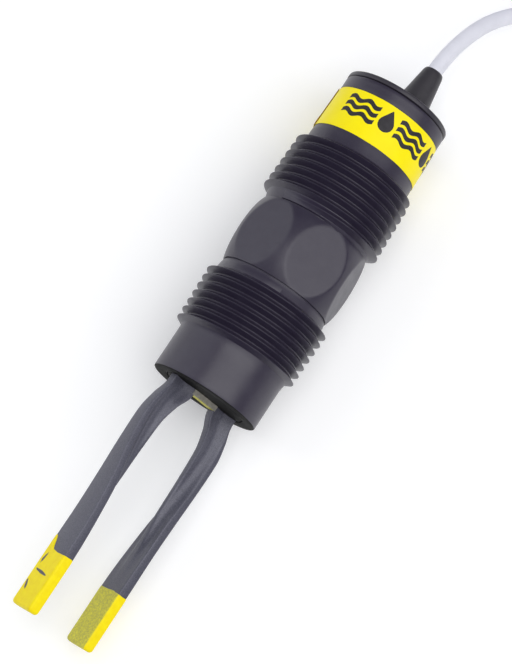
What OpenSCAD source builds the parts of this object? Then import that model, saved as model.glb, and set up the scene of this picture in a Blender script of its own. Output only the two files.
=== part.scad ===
// Vibrating fork liquid probe with two pipe threads, lying on its side.
// The probe's own axis is Z in the modules below: the nose face is z = 0, the cap is up
// and the fork hangs down. laid() turns that axis to +Y and rests the probe on the floor.

/* [Housing] */
// Radius of the smooth nose below the lower thread
nose_r = 11.35; // [11.1:0.05:11.5]
// Height at which the nose ends and the lower neck of the thread begins
nose_h = 9.3; // [8:0.1:9.6]
// Radius of the short neck between the lower thread and the hexagon
low_neck_r = 11.7; // [11.6:0.05:11.8]
// Radius of the short neck between the hexagon and the upper thread
high_neck_r = 11.8; // [11.6:0.05:11.8]
// Radius of the plain neck just above the upper thread
collar_r = 11.35; // [11.3:0.05:11.45]
// Radius of the housing at its top, under the lid
cap_r = 11; // [10.8:0.05:11.2]
// Radius of the long cavity inside
cavity_r = 9.4; // [9.2:0.05:9.5]
// Height of the housing's top edge above the nose face
housing_h = 68.2; // [67:0.1:69]

/* [Threads] */
// Distance between thread crests, 14 to the inch
pitch = 1.814; // [1.7:0.01:1.9]
// Turns on each thread
turns = 7; // [6:1:7]
// Crest radius at the small end of each thread
crest_r = 12.87; // [12.8:0.01:13]
// Depth of the thread
thread_depth = 1.33; // [1.1:0.01:1.4]
// Height at which the lower thread starts
low_thread_z = 10; // [9.9:0.1:10]
// Height at which the upper thread starts
high_thread_z = 40.8; // [40.8:0.1:41]

/* [Hexagon] */
// Distance across the wrench flats
across_flats = 23.3; // [23.2:0.1:23.6]
// Largest radius of the barrel that the flats are cut into
barrel_r = 12.98; // [12.9:0.01:13.1]
// Radius of the barrel at its two ends
barrel_end_r = 11.7; // [11.7:0.01:11.8]
// Height at which the hexagon starts
hex_z = 24.7; // [24.6:0.1:24.8]
// Length of the hexagon
hex_h = 14.2; // [14:0.1:14.2]
// Turn of the flats about the axis
hex_turn = 24; // [0:1:59]

/* [Fork] */
// Distance from the nose face to the tips of the tines
fork_len = 52; // [51:0.5:54]
// Radius of the fork's base disc
base_r = 8.45; // [8.3:0.01:8.45]
// Height of the base disc's outer face inside the nose
base_z = 0.1; // [0.1:0.1:0.8]
// How far the bar between the tine roots stands out of the nose
bridge_h = 1; // [0.5:0.1:1.2]
// Thickness of the bar between the tine roots
bridge_w = 2.4; // [2:0.1:3]
// Top of the base disc, where it meets the web of the housing
base_top = 4.2; // [4:0.1:4.4]
// Radius of the hollow stub that passes through the web
stub_r = 6.5; // [6.3:0.05:6.5]
// Turn of the fork about the axis
fork_turn = 38; // [0:1:90]
// Height above the tips at which the dipped coating starts
coat_h = 12.3; // [10:0.1:13]
// Thickness of the dipped coating
coat_t = 0.15; // [0.1:0.05:0.3]

/* [Sensing stack] */
// Radius of the piezo rings
piezo_r = 4.8; // [4.5:0.1:5]
// Thickness of one piezo ring
piezo_h = 2; // [1.5:0.1:2]
// Thickness of one electrode
electrode_h = 0.2; // [0.1:0.05:0.2]
// Thickness of one insulating washer
insulator_h = 0.6; // [0.4:0.1:0.6]
// Height of the steel mass on top of the stack
mass_h = 4; // [3:0.5:4]
// Radius of the bolt that clamps the stack
bolt_r = 1.5; // [1.2:0.1:1.5]

/* [Electronics] */
// Width of the circuit board
board_w = 14; // [12:0.5:15]
// Thickness of the circuit board
board_t = 1.2; // [0.8:0.1:1.2]
// Height of the circuit board's lower edge
board_z = 24; // [24:0.5:26]
// Length of the circuit board
board_h = 32; // [28:1:32]
// Height of the underside of the potting
potting_z = 58; // [57.5:0.1:59]
// Top of the potting
potting_top = 65.6; // [65:0.1:65.6]

/* [Cap] */
// Radius of the lid
lid_r = 11.17; // [11:0.01:11.3]
// Thickness of the lid's disc
lid_h = 1.15; // [1:0.05:1.3]
// Distance of the cable from the axis
cable_off = 2.4; // [2:0.1:3]
// Radius of the boot where it stands on the lid
boot_base_r = 3.7; // [3.4:0.1:4]
// Radius of the boot at its shoulder
boot_top_r = 2.05; // [2.05:0.05:2.4]
// Distance from the nose face to the boot's end
boot_end = 79; // [78:0.5:80]

/* [Label] */
// Height at which the label starts
label_z = 56.5; // [56:0.1:57]
// Width of the label along the axis
label_w = 8.9; // [8:0.1:9]
// Thickness of the label
label_t = 0.12; // [0.1:0.01:0.15]

/* [Cable] */
// Outer radius of the cable
cable_r = 1.6; // [1.5:0.05:1.6]
// Radius of the coil at the middle of its turns
coil_mid_r = 19.2; // [19:0.1:20]
// Turns side by side across the coil, and turns one above another
coil_rows = 5; // [5:1:6]
// Radius of one insulated conductor
wire_r = 0.45; // [0.4:0.05:0.5]
// Thickness of the ties round the coil
tie_t = 0.7; // [0.5:0.1:0.7]
// Width of the ties round the coil
tie_w = 3.5; // [2.5:0.5:5]

/* [Hidden] */
$fn = 96;
eps = 0.01;

// The probe's middle stands over the origin, and its widest thread crest touches the floor.
middle_z = (boot_end - fork_len) / 2;

// Housing
taper = 1 / 32;
crest_flat = 0.12;
root_flat = 0.2;
nose_edge = 0.25;
barrel_steps = 16;
web_top = 6.2;
web_hole_r = stub_r + 0.05;
mouth_r = base_r + 0.05;
thread_h = turns * pitch;
axis_h = crest_r + taper * (thread_h - (pitch - crest_flat) / 2);

// Fork: at each height, the outer face, the inner corner of the front edge, the inner
// edge of the web, the width across the blade and the thickness of the web.
tine_stations = [
    [3.0, 8.30, 8.15, 2.80, 2.00, 2.00],
    [-1.8, 8.35, 8.15, 2.80, 2.00, 2.00],
    [-4.7, 9.25, 8.75, 4.15, 2.30, 1.85],
    [-8.5, 9.90, 8.95, 5.15, 2.75, 1.60],
    [-15.2, 9.60, 8.45, 5.40, 3.75, 1.10],
    [-22.8, 8.80, 7.15, 5.50, 5.45, 0.60],
    [-30.3, 8.30, 6.55, 6.00, 6.50, 0.80],
    [-38.5, 8.20, 6.15, 6.15, 7.00, 1.20],
    [-fork_len + coat_t, 8.20, 6.15, 6.15, 7.00, 1.20]
];
tine_step = 1.5;
tip_outer_x = 8.2;
tip_inner_x = 6.15;
tip_w = 7;
seal_r = 0.6;

// Stack of rings, from the base disc up
stack_z = base_top;
lower_electrode_z = stack_z + insulator_h;
drive_z = lower_electrode_z + electrode_h;
middle_electrode_z = drive_z + piezo_h;
sense_z = middle_electrode_z + electrode_h;
upper_electrode_z = sense_z + piezo_h;
upper_insulator_z = upper_electrode_z + electrode_h;
mass_z = upper_insulator_z + insulator_h;
washer_z = mass_z + mass_h;
washer_h = 0.5;
bolt_head_z = washer_z + washer_h;
bolt_head_h = 2.5;
bolt_depth = 2.4;
ring_hole_r = bolt_r + 0.1;

// Cable
cable_route = [
    [cable_off, boot_end - middle_z, axis_h], [2.6, 68.5, 13.2], [3.1, 72, 12.9],
    [3.9, 75.5, 12.2], [5, 79, 11.1], [6.6, 82.5, 9.6], [8.8, 85.9, 7.9],
    [11.4, 89.3, 6.2], [14, 93, 4.7], [16.4, 97, 3.5], [18.6, 101.2, 2.7], [20.2, 105.6, 2.3]
];
coil_centre = [-5.2, 119.8];
coil_bundle = 2 * cable_r * coil_rows;
coil_top = tie_t + coil_bundle;
cable_end_from = 205;
cable_end_span = 60;
tie_turns = [20, 150];
wire_pitch = 0.95;
wire_span = 75;
ferrule_span = 14;

module laid() {
    translate([0, -middle_z, axis_h]) rotate([-90, 0, 0]) children();
}

module ring(inner_r, outer_r, z, h) {
    translate([0, 0, z]) difference() {
        cylinder(r = outer_r, h = h);
        translate([0, 0, -eps]) cylinder(r = inner_r, h = h + 2 * eps);
    }
}

// Housing

// The outline of one thread, from its lower end up. grows is 1 where the thread widens
// upward and -1 where it narrows.
function thread_crest(z, z0, grows) =
    crest_r + taper * (grows > 0 ? z - z0 : z0 + thread_h - z);

function thread_outline(z0, grows) = [
    for (k = [0 : turns - 1])
        for (at = [
            [root_flat / 2, 1], [(pitch - crest_flat) / 2, 0],
            [(pitch + crest_flat) / 2, 0], [pitch - root_flat / 2, 1]
        ])
            let (z = z0 + k * pitch + at[0])
                [thread_crest(z, z0, grows) - at[1] * thread_depth, z]
];

function skin_r(z) =
    collar_r + (cap_r - collar_r) * (z - high_thread_z - thread_h)
        / (housing_h - high_thread_z - thread_h);

function barrel_radius(z) =
    let (
        rise = barrel_r - barrel_end_r,
        arc = (pow(hex_h / 2, 2) + rise * rise) / (2 * rise)
    )
        barrel_r - arc + sqrt(arc * arc - z * z);

module lower_body() {
    rotate_extrude() polygon(concat(
        [[0, 0], [nose_r - nose_edge, 0], [nose_r, nose_edge], [nose_r, nose_h]],
        thread_outline(low_thread_z, 1),
        [[low_neck_r, low_thread_z + thread_h + root_flat], [low_neck_r, hex_z + eps],
            [0, hex_z + eps]]
    ));
}

module barrel() {
    intersection() {
        rotate_extrude() polygon(concat(
            [[0, hex_z]],
            [for (k = [0 : barrel_steps])
                let (z = hex_h * (k / barrel_steps - 0.5))
                    [barrel_radius(z), hex_z + hex_h / 2 + z]],
            [[0, hex_z + hex_h]]
        ));
        rotate([0, 0, hex_turn]) translate([0, 0, hex_z - 1])
            cylinder(d = across_flats / cos(30), h = hex_h + 2, $fn = 6);
    }
}

module upper_body() {
    rotate_extrude() polygon(concat(
        [[0, hex_z + hex_h - eps], [high_neck_r, hex_z + hex_h - eps],
            [high_neck_r, high_thread_z - root_flat]],
        thread_outline(high_thread_z, -1),
        [[collar_r, high_thread_z + thread_h], [cap_r, housing_h], [0, housing_h]]
    ));
}

module housing() {
    color("#4a4650") laid() difference() {
        union() {
            lower_body();
            barrel();
            upper_body();
        }
        translate([0, 0, -1]) cylinder(r = mouth_r, h = base_top + 1);
        cylinder(r = web_hole_r, h = web_top + 1);
        translate([0, 0, web_top]) cylinder(r = cavity_r, h = housing_h);
    }
}

module label() {
    color("#ffee00") laid() rotate_extrude() polygon([
        [skin_r(label_z), label_z],
        [skin_r(label_z) + label_t, label_z],
        [skin_r(label_z + label_w) + label_t, label_z + label_w],
        [skin_r(label_z + label_w), label_z + label_w]
    ]);
}

// Cap

boot_flange_r = 3.4;
boot_neck_r = 2.6;
boot_flange_h = 1.2;
lid_top = housing_h + lid_h;
spigot_wall = 1.2;

module lid() {
    color("#45414a") laid() difference() {
        union() {
            rotate_extrude() polygon([
                [0, housing_h], [lid_r, housing_h], [lid_r, lid_top - 0.3],
                [lid_r - 0.3, lid_top], [0, lid_top]
            ]);
            ring(cavity_r - spigot_wall, cavity_r - 0.05, potting_top, housing_h - potting_top + eps);
        }
        translate([cable_off, 0, housing_h - 1]) cylinder(r = boot_neck_r, h = lid_h + 2);
    }
}

module cable_boot() {
    round_r = 0.35;
    color("#3d3a42") laid() translate([cable_off, 0, 0]) rotate_extrude() polygon([
        [cable_r, housing_h - boot_flange_h],
        [boot_flange_r, housing_h - boot_flange_h],
        [boot_flange_r, housing_h],
        [boot_neck_r, housing_h],
        [boot_neck_r, lid_top],
        [boot_base_r, lid_top],
        [boot_top_r, boot_end - round_r],
        [boot_top_r - 0.1, boot_end - round_r / 3],
        [boot_top_r - round_r, boot_end],
        [cable_r, boot_end]
    ]);
}

module cable_entry() {
    color("#ecebf2") laid() translate([cable_off, 0, potting_z - 0.5])
        cylinder(r = cable_r, h = boot_end - potting_z + 0.5);
}

// Fork

// A smooth curve through four values of one column, a quarter of the way per step.
function blend_four(a, b, c, d, t) =
    b + 0.5 * t * (c - a + t * (2 * a - 5 * b + 4 * c - d + t * (3 * (b - c) + d - a)));

function station_row(k) = tine_stations[max(0, min(len(tine_stations) - 1, k))];

function tine_row(k, t) = [
    for (column = [0 : 5])
        column == 0
            ? station_row(k)[0] + t * (station_row(k + 1)[0] - station_row(k)[0])
            : blend_four(station_row(k - 1)[column], station_row(k)[column],
                station_row(k + 1)[column], station_row(k + 2)[column], t)
];

tine_rows = concat(
    [for (k = [0 : len(tine_stations) - 3])
        let (steps = ceil((tine_stations[k][0] - tine_stations[k + 1][0]) / tine_step))
            for (i = [0 : steps - 1]) tine_row(k, i / steps)],
    [tine_stations[len(tine_stations) - 2], tine_stations[len(tine_stations) - 1]]
);

function tine_ring(row) = [
    [row[1], -row[4] / 2, row[0]], [row[1], row[4] / 2, row[0]],
    [row[2], row[4] / 2, row[0]], [row[3], row[5] / 2, row[0]],
    [row[3], -row[5] / 2, row[0]], [row[2], -row[4] / 2, row[0]]
];

// Triangles between rings of n points, and a fan at each end.
function skin_faces(rings, n) = concat(
    [for (k = [0 : rings - 2]) for (i = [0 : n - 1])
        [k * n + i, k * n + (i + 1) % n, (k + 1) * n + i]],
    [for (k = [0 : rings - 2]) for (i = [0 : n - 1])
        [k * n + (i + 1) % n, (k + 1) * n + (i + 1) % n, (k + 1) * n + i]],
    [[for (i = [0 : n - 1]) n - 1 - i]],
    [[for (i = [0 : n - 1]) (rings - 1) * n + i]]
);

module tine() {
    polyhedron(
        points = [for (row = tine_rows) for (p = tine_ring(row)) p],
        faces = skin_faces(len(tine_rows), 6)
    );
}

module fork() {
    stub_hole_r = piezo_r + 0.4;
    stub_top = 10;
    bridge_half = 8.1;
    color("#6b6b76") laid() rotate([0, 0, fork_turn]) {
        difference() {
            union() {
                translate([0, 0, base_z]) cylinder(r = base_r, h = base_top - base_z);
                translate([0, 0, base_top - eps]) cylinder(r = stub_r, h = stub_top - base_top);
                translate([-bridge_half, -bridge_w / 2, -bridge_h])
                    cube([2 * bridge_half, bridge_w, bridge_h + base_z + eps]);
            }
            translate([0, 0, base_top]) cylinder(r = stub_hole_r, h = stub_top);
            translate([0, 0, base_top - bolt_depth]) cylinder(r = bolt_r, h = bolt_depth + 1);
            ring(base_r - 2 * seal_r + 0.05, base_r + 1, 1.7, 2.4 * seal_r);
        }
        tine();
        rotate([0, 0, 180]) tine();
    }
}

module coat_shell() {
    width = tip_outer_x - tip_inner_x;
    difference() {
        translate([tip_inner_x - coat_t, -tip_w / 2 - coat_t, -fork_len])
            cube([width + 2 * coat_t, tip_w + 2 * coat_t, coat_h]);
        translate([tip_inner_x, -tip_w / 2, -fork_len + coat_t])
            cube([width, tip_w, coat_h]);
    }
}

module tip_coat_a() {
    color("#ffeb00") laid() rotate([0, 0, fork_turn]) coat_shell();
}

module tip_coat_b() {
    color("#ffeb00") laid() rotate([0, 0, fork_turn + 180]) coat_shell();
}

module fork_seal() {
    color("#222222") laid() translate([0, 0, 1.7 + 1.2 * seal_r])
        rotate_extrude() translate([base_r + 0.05 - seal_r, 0]) circle(r = seal_r, $fn = 32);
}

module fork_nut() {
    nut_h = 3;
    color("#c8b060") laid() difference() {
        ring(stub_r, cavity_r - 0.3, web_top, nut_h);
        for (turn = [0 : 90 : 270])
            rotate([0, 0, turn]) translate([cavity_r - 1.4, -1, web_top + 1.5]) cube([3, 2, 3]);
    }
}

// Sensing stack

module lower_insulator() {
    color("#f0ead8") laid() ring(ring_hole_r, piezo_r, stack_z, insulator_h);
}

module electrode(z, turn) {
    color("#c99a3c") laid() rotate([0, 0, turn]) {
        ring(ring_hole_r, piezo_r, z, electrode_h);
        translate([ring_hole_r + 1, -0.6, z]) cube([piezo_r - ring_hole_r - 0.8, 1.2, electrode_h]);
    }
}

module lower_electrode() {
    electrode(lower_electrode_z, 0);
}

module middle_electrode() {
    electrode(middle_electrode_z, 120);
}

module upper_electrode() {
    electrode(upper_electrode_z, 240);
}

module drive_piezo() {
    color("#8d8578") laid() ring(ring_hole_r, piezo_r, drive_z, piezo_h);
}

module sense_piezo() {
    color("#8d8578") laid() ring(ring_hole_r, piezo_r, sense_z, piezo_h);
}

module upper_insulator() {
    color("#f0ead8") laid() ring(ring_hole_r, piezo_r, upper_insulator_z, insulator_h);
}

module back_mass() {
    color("#9a9a9f") laid() ring(ring_hole_r, piezo_r, mass_z, mass_h);
}

module spring_washer() {
    color("#b4b4b8") laid() ring(ring_hole_r, 3, washer_z, washer_h);
}

module preload_bolt() {
    color("#c0c0c4") laid() {
        translate([0, 0, base_top - bolt_depth + 0.2])
            cylinder(r = bolt_r, h = bolt_head_z - base_top + bolt_depth);
        difference() {
            translate([0, 0, bolt_head_z]) cylinder(r = 2.75, h = bolt_head_h);
            translate([0, 0, bolt_head_z + 1.1]) cylinder(r = 1.4, h = 3, $fn = 6);
        }
    }
}

// Electronics

holder_z = 21;
holder_h = 5;

module board_holder() {
    color("#e6e2d4") laid() difference() {
        ring(2.5, cavity_r - 0.1, holder_z, holder_h);
        translate([-board_w / 2, -board_t / 2, board_z]) cube([board_w, board_t, holder_h]);
    }
}

module circuit_board() {
    color("#1f6b3a") laid() difference() {
        translate([-board_w / 2, -board_t / 2, board_z]) cube([board_w, board_t, board_h]);
        for (x = [-board_w / 2 + 1.5, board_w / 2 - 1.5])
            translate([x, 0, board_z + board_h - 2]) rotate([90, 0, 0])
                cylinder(r = 0.7, h = 5, center = true);
    }
}

module on_board_front(x, z, w, t, h) {
    laid() translate([x - w / 2, -board_t / 2 - t, z]) cube([w, t, h]);
}

module driver_chip() {
    color("#26262a") on_board_front(0, 29, 6, 1.6, 8);
}

module output_switch() {
    color("#2c2c30") on_board_front(-2.5, 39, 5, 3.4, 7);
}

module filter_capacitor() {
    color("#3a4a7a") laid() translate([3.6, -board_t / 2, 42]) rotate([90, 0, 0])
        cylinder(r = 2.2, h = 4.6);
}

module wire_header() {
    color("#3f8f4a") on_board_front(0, 48.5, 10, 4.5, 5);
}

module potting() {
    color("#2b2a30") laid() difference() {
        translate([0, 0, potting_z]) cylinder(r = cavity_r, h = potting_top - potting_z);
        translate([cable_off, 0, potting_z - 1]) cylinder(r = cable_r, h = 10);
    }
}

// Cable

route_sides = 8;

function unit(v) = v / norm(v);

function route_way(k) =
    unit(cable_route[min(k + 1, len(cable_route) - 1)] - cable_route[max(k - 1, 0)]);

function route_ring(k) =
    let (
        way = k == 0 ? [0, 1, 0] : route_way(k),
        side = unit(cross(way, [0, 0, 1])),
        up = cross(side, way)
    )
        [for (i = [0 : route_sides - 1])
            let (turn = 360 * i / route_sides)
                cable_route[k] + cable_r * (cos(turn) * side + sin(turn) * up)];

module cable() {
    color("#ecebf2") polyhedron(
        points = [for (k = [0 : len(cable_route) - 1]) for (p = route_ring(k)) p],
        faces = skin_faces(len(cable_route), route_sides)
    );
}

module at_coil() {
    translate([coil_centre[0], coil_centre[1], 0]) children();
}

module cable_coil() {
    color("#ecebf2") at_coil()
        ring(coil_mid_r - coil_bundle / 2, coil_mid_r + coil_bundle / 2, coil_top - coil_bundle, coil_bundle);
}

module arc_rod(arc_r, rod_r, z, from, span) {
    translate([0, 0, z]) rotate([0, 0, from])
        rotate_extrude(angle = span) translate([arc_r, 0]) circle(r = rod_r, $fn = 32);
}

module cable_end() {
    color("#ecebf2") at_coil()
        arc_rod(coil_mid_r, cable_r, coil_top + cable_r, cable_end_from, cable_end_span);
}

module conductor(index) {
    at_coil() arc_rod(
        coil_mid_r + wire_pitch * (index - 1.5), wire_r, coil_top + wire_r,
        cable_end_from + cable_end_span, wire_span
    );
}

module conductor_red() {
    color("#c03028") conductor(0);
}

module conductor_black() {
    color("#222226") conductor(1);
}

module conductor_white() {
    color("#f0f0f0") conductor(2);
}

module conductor_green() {
    color("#2f8a48") conductor(3);
}

module wire_ferrules() {
    color("#c9c9cd") at_coil() for (index = [0 : 3])
        arc_rod(
            coil_mid_r + wire_pitch * (index - 1.5), wire_r, coil_top + wire_r,
            cable_end_from + cable_end_span + wire_span, ferrule_span
        );
}

module cable_ties() {
    outer = coil_bundle + 2 * tie_t;
    color("#2e2e32") at_coil() for (turn = tie_turns)
        rotate([0, 0, turn]) translate([coil_mid_r, 0, coil_top - coil_bundle / 2])
            rotate([90, 0, 0]) difference() {
                cube([outer, outer, tie_w], center = true);
                cube([coil_bundle, coil_bundle, tie_w + 1], center = true);
            }
}

housing();
lid();
cable_boot();
label();
cable_entry();
fork();
tip_coat_a();
tip_coat_b();
fork_seal();
fork_nut();
lower_insulator();
lower_electrode();
drive_piezo();
middle_electrode();
sense_piezo();
upper_electrode();
upper_insulator();
back_mass();
spring_washer();
preload_bolt();
board_holder();
circuit_board();
driver_chip();
output_switch();
filter_capacitor();
wire_header();
potting();
cable();
cable_coil();
cable_end();
cable_ties();
conductor_red();
conductor_black();
conductor_white();
conductor_green();
wire_ferrules();
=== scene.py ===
"""The looks of the fork probe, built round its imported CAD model, in metres."""

import math
import random

import bmesh
import bpy
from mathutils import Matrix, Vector


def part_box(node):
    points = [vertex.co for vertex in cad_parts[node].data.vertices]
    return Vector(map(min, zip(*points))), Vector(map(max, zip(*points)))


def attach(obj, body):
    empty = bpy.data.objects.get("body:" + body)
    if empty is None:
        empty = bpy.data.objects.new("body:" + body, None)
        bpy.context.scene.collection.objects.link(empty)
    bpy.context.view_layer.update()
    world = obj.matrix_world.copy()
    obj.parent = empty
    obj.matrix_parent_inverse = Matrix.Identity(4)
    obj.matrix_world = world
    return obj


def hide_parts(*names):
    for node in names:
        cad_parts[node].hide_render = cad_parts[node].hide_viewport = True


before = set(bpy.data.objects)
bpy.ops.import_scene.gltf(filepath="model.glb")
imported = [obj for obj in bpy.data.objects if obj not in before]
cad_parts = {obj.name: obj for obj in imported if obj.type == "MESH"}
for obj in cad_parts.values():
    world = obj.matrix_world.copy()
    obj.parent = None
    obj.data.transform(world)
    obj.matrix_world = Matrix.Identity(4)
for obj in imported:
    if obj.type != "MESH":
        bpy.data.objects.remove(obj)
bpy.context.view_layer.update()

MM = 0.001
BODY = "root"
rng = random.Random(11)


# ---------------------------------------------------------------- the probe's own frame
# Lengths below are in millimetres. The probe's axis is z, its nose face is z = 0, its front
# is -y, and a turn counts from +x towards +y.

house_low, house_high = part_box("housing")
nose_y = house_low[1]
axis_z = (house_low[2] + house_high[2]) / 2


def at(x, y, z):
    """A point of the probe in the row frame, in metres."""
    return (x * MM, nose_y + z * MM, axis_z - y * MM)


def polar(r, turn, z):
    """A point of the probe at a radius, a turn in radians and a height."""
    return at(r * math.cos(turn), r * math.sin(turn), z)


def height_of(y):
    """The probe's height, in millimetres, of a row frame y in metres."""
    return (y - nose_y) / MM


housing_h = height_of(house_high[1])
lid_low, lid_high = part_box("lid")
lid_top = height_of(lid_high[1])
lid_r = (lid_high[0] - lid_low[0]) / 2 / MM
boot_low, boot_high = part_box("cable_boot")
boot_end = height_of(boot_high[1])
boot_x = (boot_low[0] + boot_high[0]) / 2 / MM
boot_base_r = (boot_high[0] - boot_low[0]) / 2 / MM
label_low, label_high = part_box("label")
label_z = height_of(label_low[1])
label_top = height_of(label_high[1])
tip_z = height_of(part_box("tip_coat_a")[0][1])
coat_z = height_of(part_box("tip_coat_a")[1][1])


# ---------------------------------------------------------------- camera

CAMERA = (0.05393, -0.07858, 0.45257)
TARGET = (0.00137, 0.00265, 0.01309)
LENS_MM = 127.36


def add_camera():
    """The camera stands above the probe, a little towards its fork and its right."""
    camera = bpy.data.objects.new("camera", bpy.data.cameras.new("camera"))
    camera.data.lens = LENS_MM
    camera.data.sensor_width = 36
    camera.data.clip_start = 0.01
    camera.location = CAMERA
    look = Vector(TARGET) - Vector(CAMERA)
    camera.rotation_euler = look.to_track_quat("-Z", "Y").to_euler()
    bpy.context.collection.objects.link(camera)
    bpy.context.scene.camera = camera


add_camera()


# ---------------------------------------------------------------- materials

def make_material(name, colour, roughness, grain=None, mottle=None, **sockets):
    """A Principled material. mottle is (second colour, size, amount): patches of another
    colour. grain is (size, depth): fine bumps, which also make the gloss uneven."""
    m = bpy.data.materials.new(name)
    m.use_nodes = True
    nodes, links = m.node_tree.nodes, m.node_tree.links
    shader = nodes["Principled BSDF"]
    shader.inputs["Base Color"].default_value = (*colour, 1)
    shader.inputs["Roughness"].default_value = roughness
    for socket, value in sockets.items():
        shader.inputs[socket.replace("_", " ")].default_value = value
    where = nodes.new("ShaderNodeTexCoord").outputs["Object"]
    if mottle:
        second, size, amount = mottle
        noise = add_noise(nodes, links, where, size, 4)
        ramp = nodes.new("ShaderNodeValToRGB")
        ramp.color_ramp.elements[0].position = 0.5 - amount / 2
        ramp.color_ramp.elements[0].color = (*colour, 1)
        ramp.color_ramp.elements[1].position = 0.5 + amount / 2
        ramp.color_ramp.elements[1].color = (*second, 1)
        links.new(noise, ramp.inputs["Fac"])
        links.new(ramp.outputs["Color"], shader.inputs["Base Color"])
    if grain:
        size, depth = grain
        noise = add_noise(nodes, links, where, size, 2)
        bump = nodes.new("ShaderNodeBump")
        bump.inputs["Strength"].default_value = 1
        bump.inputs["Distance"].default_value = depth * MM
        links.new(noise, bump.inputs["Height"])
        links.new(bump.outputs["Normal"], shader.inputs["Normal"])
        span = nodes.new("ShaderNodeMapRange")
        span.inputs["To Min"].default_value = roughness * 0.8
        span.inputs["To Max"].default_value = min(1, roughness * 1.2)
        patches = add_noise(nodes, links, where, size * 12, 3)
        links.new(patches, span.inputs["Value"])
        links.new(span.outputs["Result"], shader.inputs["Roughness"])
    return m


def add_noise(nodes, links, where, size, detail):
    """Noise whose blotches are about size millimetres across."""
    noise = nodes.new("ShaderNodeTexNoise")
    noise.inputs["Scale"].default_value = 1 / (size * MM)
    noise.inputs["Detail"].default_value = detail
    links.new(where, noise.inputs["Vector"])
    return noise.outputs["Fac"]


black_plastic = make_material(
    "black_plastic", (0.021, 0.016, 0.034), 0.36, grain=(0.2, 0.01),
    mottle=((0.028, 0.023, 0.042), 2.5, 0.5),
)
lid_plastic = make_material(
    "lid_plastic", (0.021, 0.017, 0.03), 0.4, grain=(0.2, 0.005),
    mottle=((0.028, 0.025, 0.032), 2.0, 0.5),
)
boot_rubber = make_material(
    "boot_rubber", (0.022, 0.019, 0.025), 0.45, grain=(0.25, 0.006),
    mottle=((0.03, 0.027, 0.034), 1.5, 0.5),
)
slate_metal = make_material(
    "slate_metal", (0.055, 0.054, 0.075), 0.38, grain=(0.16, 0.006),
    mottle=((0.1, 0.1, 0.135), 0.2, 0.35), Metallic=0.15,
)
# Near black, darker than the plastic, for the mouth, the nose's face and the fork disc's face and
# rim: painted shade for the shaded gap round the fork.
mouth_painted_shade = make_material(
    "mouth_painted_shade", (0.005, 0.005, 0.005), 0.7, grain=(0.3, 0.006),
    mottle=((0.009, 0.009, 0.008), 1.0, 0.4), Specular_IOR_Level=0.15,
)
root_resin = make_material(
    "root_resin", (0.2, 0.19, 0.165), 0.45, grain=(0.3, 0.008),
    mottle=((0.3, 0.28, 0.24), 0.6, 0.4),
)
tip_yellow = make_material(
    "tip_yellow", (0.96, 0.8, 0.0), 0.45, grain=(0.5, 0.01),
    mottle=((0.9, 0.7, 0.0), 1.2, 0.5), Specular_IOR_Level=0.2,
)
# Darker olive yellow with mottle. On the tips' faces between the tines it is painted shade, and on
# the bar between the roots it is a painted highlight.
olive_painted_shade_and_highlight = make_material(
    "olive_painted_shade_and_highlight", (0.75, 0.7, 0.05), 0.5, grain=(0.3, 0.012),
    mottle=((0.45, 0.42, 0.08), 0.4, 0.4), Specular_IOR_Level=0.25,
)
tip_chip = make_material(
    "tip_chip", (0.06, 0.055, 0.07), 0.5, grain=(0.2, 0.01),
    mottle=((0.12, 0.11, 0.12), 0.4, 0.4),
)
label_yellow = make_material(
    "label_yellow", (0.97, 0.83, 0.0), 0.42, grain=(0.8, 0.002),
    mottle=((0.94, 0.78, 0.0), 3.0, 0.5), Specular_IOR_Level=0.2,
)
label_ink = make_material(
    "label_ink", (0.018, 0.016, 0.02), 0.45, grain=(0.4, 0.003),
    mottle=((0.028, 0.025, 0.03), 0.8, 0.5), Specular_IOR_Level=0.3,
)
label_glue = make_material(
    "label_glue", (0.6, 0.3, 0.04), 0.5, grain=(0.3, 0.02),
    mottle=((0.25, 0.13, 0.05), 0.6, 0.4),
)
jacket_white = make_material(
    "jacket_white", (0.72, 0.72, 0.79), 0.45, grain=(0.6, 0.004),
    mottle=((0.67, 0.67, 0.74), 2.5, 0.5),
)
tie_nylon = make_material(
    "tie_nylon", (0.025, 0.025, 0.028), 0.4, grain=(0.3, 0.006),
    mottle=((0.035, 0.034, 0.037), 1.5, 0.5),
)


# ---------------------------------------------------------------- making pieces

def add_mesh(name, points, faces, materials, nodes, sharp=35, inks=None):
    """A piece from its points and faces. inks gives each face's material number."""
    mesh = bpy.data.meshes.new(name)
    mesh.from_pydata([tuple(p) for p in points], [], faces)
    for m in materials:
        mesh.materials.append(m)
    if inks:
        mesh.polygons.foreach_set("material_index", inks)
    work = bmesh.new()
    work.from_mesh(mesh)
    bmesh.ops.recalc_face_normals(work, faces=work.faces)
    work.to_mesh(mesh)
    work.free()
    mesh.shade_smooth()
    mesh.set_sharp_from_angle(angle=math.radians(sharp))
    piece = bpy.data.objects.new(name, mesh)
    return settle(piece, nodes)


def settle(piece, nodes):
    """Links a piece, gives it its body, and hides the nodes that it stands for."""
    bpy.context.collection.objects.link(piece)
    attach(piece, BODY)
    if nodes:
        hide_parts(*nodes)
    return piece


def bridge(a, b):
    """Quads between two rings with the same number of points."""
    n = len(a)
    return [(a[k], a[(k + 1) % n], b[(k + 1) % n], b[k]) for k in range(n)]


def loft(points, faces, rings):
    """Joins rings of points into a closed solid added to a mesh."""
    numbers = []
    for ring in rings:
        numbers.append(list(range(len(points), len(points) + len(ring))))
        points += ring
    for a, b in zip(numbers, numbers[1:]):
        faces += bridge(a, b)
    faces.append(tuple(numbers[0]))
    faces.append(tuple(reversed(numbers[-1])))


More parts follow.
